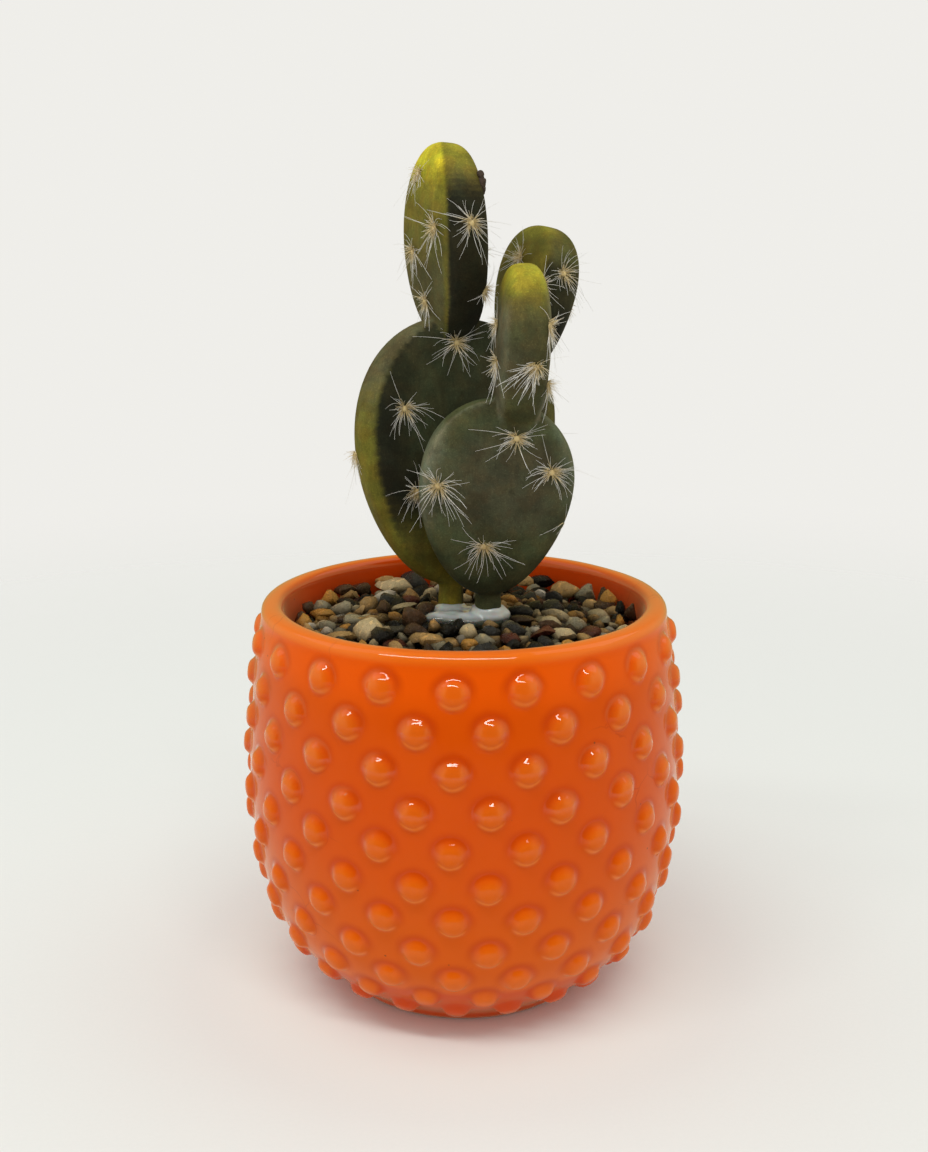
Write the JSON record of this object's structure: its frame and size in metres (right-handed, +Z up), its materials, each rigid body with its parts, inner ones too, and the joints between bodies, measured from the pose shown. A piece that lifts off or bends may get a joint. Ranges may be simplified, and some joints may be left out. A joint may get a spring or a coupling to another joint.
{
  "type": "artificial prickly pear cactus in a studded pot",
  "caption": "Artificial cactus with flat spiny pads on short stems, set in a gravel-topped round ceramic pot covered with rows of raised round studs.",
  "frame": {"origin": "centre of the pot's foot, on the surface that it stands on", "axes": "+Z up along the pot's axis; -Y is the front, where the round pad stands before the big pad; +X to the right"},
  "size_m": [0.1028, 0.1028, 0.194],
  "materials": {
    "orange_glaze": "gloss",
    "foam": "matte",
    "gravel": "satin",
    "clear_glue": "gloss",
    "painted_pads": "satin",
    "dark_bud": "matte",
    "straw_spines": "matte"
  },
  "bodies": {
    "root": {"pot": "orange_glaze", "foam_block": "foam", "gravel": "gravel", "glue": "clear_glue", "cactus_rear": "painted_pads", "cactus_front": "painted_pads", "bare_bud_tall_pad": "dark_bud", "spines_big_pad_1": "straw_spines", "spines_big_pad_2": "straw_spines", "spines_big_pad_3": "straw_spines", "spines_big_pad_4": "straw_spines", "spines_big_pad_5": "straw_spines", "spines_big_pad_6": "straw_spines", "spines_big_pad_7": "straw_spines", "spines_big_pad_8": "straw_spines", "spines_tall_pad_1": "straw_spines", "spines_tall_pad_2": "straw_spines", "spines_tall_pad_3": "straw_spines", "spines_tall_pad_4": "straw_spines", "spines_tall_pad_5": "straw_spines", "spines_tall_pad_6": "straw_spines", "spines_tall_pad_7": "straw_spines", "spines_tall_pad_8": "straw_spines", "spines_tall_pad_9": "straw_spines", "spines_tall_pad_10": "straw_spines", "spines_side_pad_1": "straw_spines", "spines_side_pad_2": "straw_spines", "spines_side_pad_3": "straw_spines", "spines_side_pad_4": "straw_spines", "spines_side_pad_5": "straw_spines", "spines_round_pad_1": "straw_spines", "spines_round_pad_2": "straw_spines", "spines_round_pad_3": "straw_spines", "spines_round_pad_4": "straw_spines", "spines_round_pad_5": "straw_spines", "spines_round_pad_6": "straw_spines", "spines_upper_pad_1": "straw_spines", "spines_upper_pad_2": "straw_spines", "spines_upper_pad_3": "straw_spines", "spines_upper_pad_4": "straw_spines", "spines_upper_pad_5": "straw_spines", "spines_upper_pad_6": "straw_spines", "spines_upper_pad_7": "straw_spines"}
  },
  "joints": []
}
